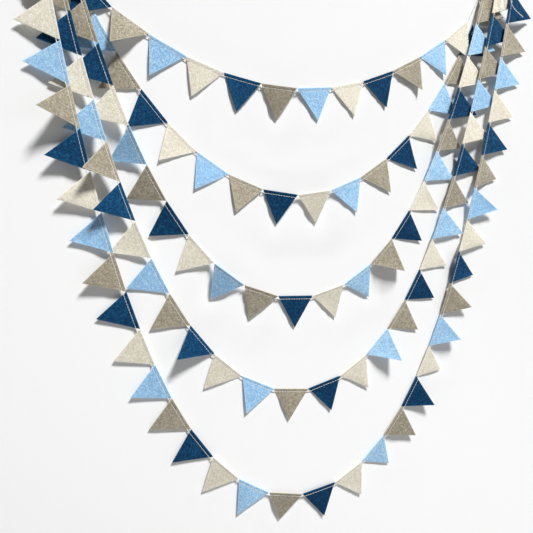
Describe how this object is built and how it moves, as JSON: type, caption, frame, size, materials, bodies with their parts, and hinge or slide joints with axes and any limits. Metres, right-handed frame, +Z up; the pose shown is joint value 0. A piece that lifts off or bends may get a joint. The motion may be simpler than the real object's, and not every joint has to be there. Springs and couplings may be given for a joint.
{
  "type": "felt pennant bunting",
  "caption": "Small felt triangles sewn corner to corner on thread, hung in nested swags that are gathered and tied at both ends.",
  "frame": {"origin": "the left hanging point, at the upper end of the left tie's thread", "axes": "+Z up, +X along the swags from the left hanging point to the right one, +Y towards the wall behind, so a viewer stands at -Y"},
  "size_m": [0.7453, 0.0542, 0.88],
  "materials": {
    "felt_repeat": "matte felt in the four colours of one repeat",
    "felt_navy": "matte navy felt",
    "felt_taupe": "matte taupe felt",
    "felt_blue": "matte light blue felt",
    "felt_cream": "matte cream felt",
    "thread": "cream sewing thread, slightly glossy"
  },
  "bodies": {
    "root": {"swag_1_flags_01_04": "felt_repeat", "swag_1_flags_05_08": "felt_repeat", "swag_1_flags_09_12": "felt_repeat", "swag_1_flags_13_14": "felt_repeat", "swag_2_flags_01_04": "felt_repeat", "swag_2_flags_05_08": "felt_repeat", "swag_2_flags_09_12": "felt_repeat", "swag_2_flags_13_16": "felt_repeat", "swag_2_flags_17_20": "felt_repeat", "swag_3_flags_01_04": "felt_repeat", "swag_3_flags_05_08": "felt_repeat", "swag_3_flags_09_12": "felt_repeat", "swag_3_flags_13_16": "felt_repeat", "swag_3_flags_17_20": "felt_repeat", "swag_3_flags_21_24": "felt_repeat", "swag_3_flags_25_25": "felt_repeat", "swag_4_flags_01_04": "felt_repeat", "swag_4_flags_05_08": "felt_repeat", "swag_4_flags_09_12": "felt_repeat", "swag_4_flags_13_16": "felt_repeat", "swag_4_flags_17_20": "felt_repeat", "swag_4_flags_21_24": "felt_repeat", "swag_4_flags_25_28": "felt_repeat", "swag_4_flags_29_30": "felt_repeat", "swag_5_flags_01_04": "felt_repeat", "swag_5_flags_05_08": "felt_repeat", "swag_5_flags_09_12": "felt_repeat", "swag_5_flags_13_16": "felt_repeat", "swag_5_flags_17_20": "felt_repeat", "swag_5_flags_21_24": "felt_repeat", "swag_5_flags_25_28": "felt_repeat", "swag_5_flags_29_32": "felt_repeat", "swag_5_flags_33_36": "felt_repeat", "tie_left": "thread", "tie_right": "thread", "loose_thread_tail": "thread", "loose_thread_loop": "thread"}
  },
  "joints": []
}
